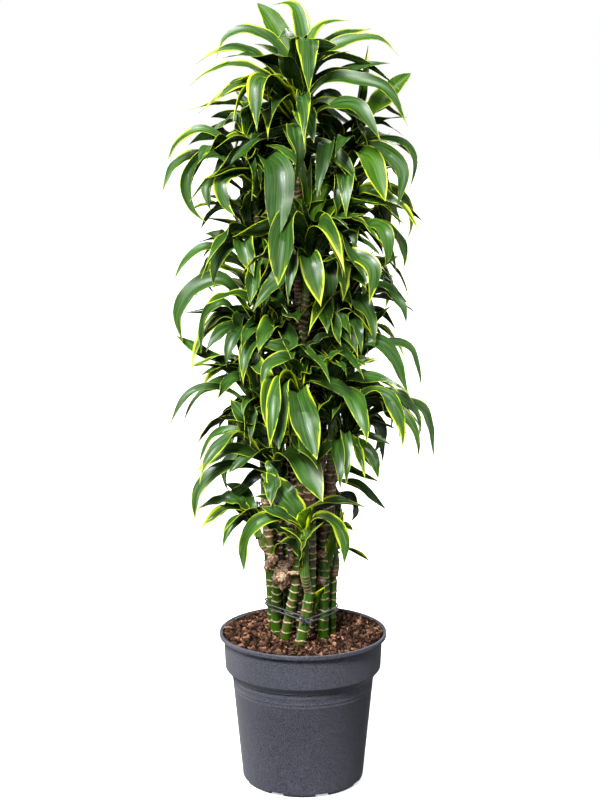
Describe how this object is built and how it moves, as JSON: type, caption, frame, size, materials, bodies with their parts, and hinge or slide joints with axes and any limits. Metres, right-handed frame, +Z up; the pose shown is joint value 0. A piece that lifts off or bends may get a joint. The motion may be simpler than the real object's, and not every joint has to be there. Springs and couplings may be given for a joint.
{
  "type": "potted corn plant",
  "caption": "Tall corn plant: ringed canes tied in a bundle, each ending in rosettes of long arching strap leaves, in a round nursery pot with a stepped rim, filled with soil.",
  "frame": {"origin": "centre of the underside of the pot, on the surface that the pot stands on", "axes": "+Z up along the pot's axis; -Y is the front shown in the picture; +X to the right of it"},
  "size_m": [0.5142, 0.453, 1.4287],
  "materials": {
    "pot_plastic": "satin dark grey moulded plastic, faintly mottled",
    "soil": "coarse matt brown potting soil with bark chips",
    "tie_wire": "black plastic-coated wire",
    "cane": "satin green bark with pale brown leaf-scar rings",
    "leaf": "glossy dark green with lime-yellow margins"
  },
  "bodies": {
    "root": {"pot": "pot_plastic", "soil": "soil", "tie_lower": "tie_wire", "tie_upper": "tie_wire", "cane_front": "cane", "cane_tall_middle": "cane", "cane_right": "cane", "cane_left_front": "cane", "cane_left": "cane", "cane_centre": "cane", "cane_right_back": "cane", "cane_back_right": "cane", "cane_back_left": "cane", "cane_back": "cane", "cane_right_thin": "cane", "head_centre_upper": "leaf", "head_centre_left": "leaf", "head_centre_right": "leaf", "head_top": "leaf", "head_front_middle": "leaf", "head_right_top": "leaf", "head_left_top": "leaf", "head_left_back_top": "leaf", "head_right_middle": "leaf", "head_left_middle": "leaf", "head_left_lower_middle": "leaf", "head_right_lower_middle": "leaf", "head_right_lower": "leaf", "head_right_outer": "leaf", "head_centre_lower": "leaf", "head_left_lower": "leaf", "head_left_outer": "leaf", "head_lowest_front": "leaf", "head_lowest_left": "leaf", "head_lowest_right": "leaf", "head_back_lowest": "leaf", "head_back_left_lower": "leaf", "head_back_right_lower": "leaf", "head_back_middle": "leaf", "head_back_left_middle": "leaf", "head_back_right_middle": "leaf", "head_back_top": "leaf"}
  },
  "joints": []
}
